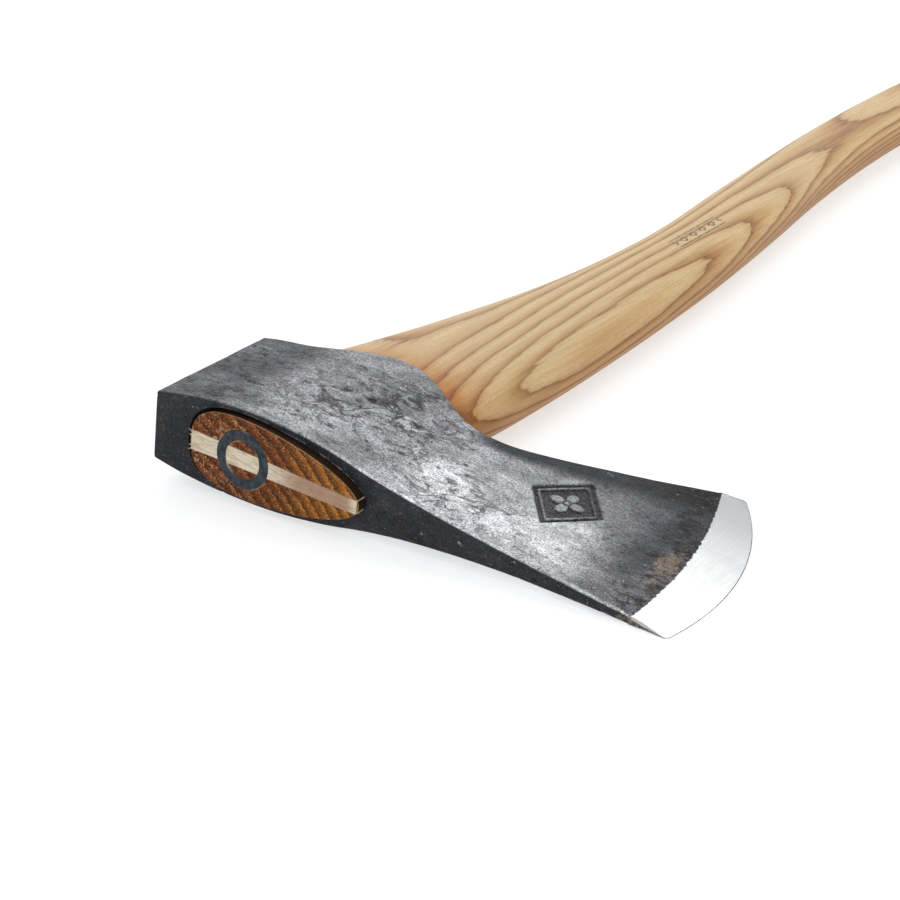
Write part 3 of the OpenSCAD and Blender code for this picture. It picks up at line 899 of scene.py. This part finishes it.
def wedge_material():
    """Dry pale hardwood with faint fibres across its end."""
    s = Shader("wedge_wood")
    fibre = s.noise(0.6, 4, 0.6, (0.15, 0.3, 1))
    flecks = s.noise(0.3, 2, 0.5)
    colour = s.mix(s.band(fibre, 0.35, 0.7), (0.64, 0.56, 0.43), (0.40, 0.31, 0.21))
    axes = s.node("ShaderNodeSeparateXYZ")
    s.feed(axes.inputs[0], s.place)
    along = axes.outputs[0]
    browned = s.math("MULTIPLY", s.band(along, -0.002, 0.012), s.band(along, 0.033, 0.029))
    colour = s.mix(s.math("MULTIPLY", browned, 0.75), colour, (0.25, 0.11, 0.055))
    return s.finish(colour, 0.75, 0.0, s.bump(s.math("ADD", fibre, flecks), 0.12))


def ring_material():
    """Dull blue-grey steel with bright rims: small knocks from the hammer that drove it, and painted
    highlight.
    """
    s = Shader("wedge_steel")
    mottle = s.noise(1.8, 4, 0.6)
    grit = s.noise(0.35, 2, 0.5)
    colour = s.mix(s.band(mottle, 0.35, 0.7), (0.022, 0.027, 0.033), (0.055, 0.064, 0.076))
    colour = s.mix(s.attribute("knocked_and_highlit"), colour, (0.60, 0.60, 0.60))
    rough = s.mix_value(mottle, 0.38, 0.62)
    return s.finish(colour, rough, 0.85, s.bump(s.math("ADD", mottle, grit), 0.12))


# ---------------------------------------------------------------- stage and camera
def build_stage():
    """A round floor that sweeps up all round into a plain backdrop."""
    flat, sweep, rise = 6.0, 2.5, 6.0
    profile = [(0.02, 0.0), (1.0, 0.0), (flat, 0.0)]
    profile += [(flat + sweep * math.sin(a), sweep * (1 - math.cos(a)))
                for a in np.linspace(0.1, math.pi / 2, 16)] + [(flat + sweep, rise)]
    turns = np.linspace(0, 2 * np.pi, 97)[:-1]
    loops = np.array([np.stack([r * np.cos(turns), r * np.sin(turns), h + 0 * turns], 1) for r, h in profile])
    verts, faces = tube(loops)
    mesh = bpy.data.meshes.new("floor")
    mesh.from_pydata(verts[:-1].tolist(), [], [face for face in faces if len(verts) - 1 not in face])
    mesh.polygons.foreach_set("use_smooth", [True] * len(mesh.polygons))
    floor = bpy.data.objects.new("floor", mesh)
    bpy.context.scene.collection.objects.link(floor)
    material = bpy.data.materials.new("floor")
    material.use_nodes = True
    shader = material.node_tree.nodes["Principled BSDF"]
    shader.inputs["Base Color"].default_value = (0.57, 0.585, 0.595, 1)
    shader.inputs["Roughness"].default_value = 0.9
    shader.inputs["Emission Color"].default_value = (1, 1, 1, 1)
    shader.inputs["Emission Strength"].default_value = 0.57
    mesh.materials.append(material)


def build_camera():
    """Camera on the axe's eye, looking down along the handle from beyond the cutting edge."""
    azimuth, elevation, roll = math.radians(32.66), math.radians(24.34), math.radians(0.63)
    distance = 0.711
    low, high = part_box("ring_wedge")
    aim = (low + high) / 2 + Vector((0.0545, 0.0279, 0.0029))
    back = Vector((math.sin(azimuth) * math.cos(elevation), -math.cos(azimuth) * math.cos(elevation),
                   math.sin(elevation)))
    camera = bpy.data.objects.new("camera", bpy.data.cameras.new("camera"))
    camera.data.lens = 88
    camera.data.sensor_width = 36
    camera.data.clip_start = 0.01
    turn = back.to_track_quat("Z", "Y").to_matrix().to_4x4()
    camera.matrix_world = (Matrix.Translation(aim + back * distance) @ turn
                           @ Matrix.Rotation(roll, 4, "Z"))
    bpy.context.scene.collection.objects.link(camera)
    bpy.context.scene.camera = camera


def add_area(name, place, target, size, power):
    light = bpy.data.lights.new(name, "AREA")
    light.energy = power
    light.shape = "RECTANGLE"
    light.size, light.size_y = size
    lamp = bpy.data.objects.new(name, light)
    direction = Vector(target) - Vector(place)
    lamp.matrix_world = Matrix.Translation(place) @ direction.to_track_quat("-Z", "Y").to_matrix().to_4x4()
    bpy.context.scene.collection.objects.link(lamp)


def build_light():
    bpy.context.scene.view_settings.view_transform = "Standard"
    world = bpy.data.worlds.new("studio")
    bpy.context.scene.world = world
    world.use_nodes = True
    world.node_tree.nodes["Background"].inputs["Color"].default_value = (1, 1, 1, 1)
    world.node_tree.nodes["Background"].inputs["Strength"].default_value = 0.78
    add_area("key", place=(-0.5, 1.15, 1.25), target=(0.05, -0.25, 0), size=(1.9, 1.5), power=11)


build_head()
build_handle()
build_wedges()
build_stage()
build_camera()
build_light()
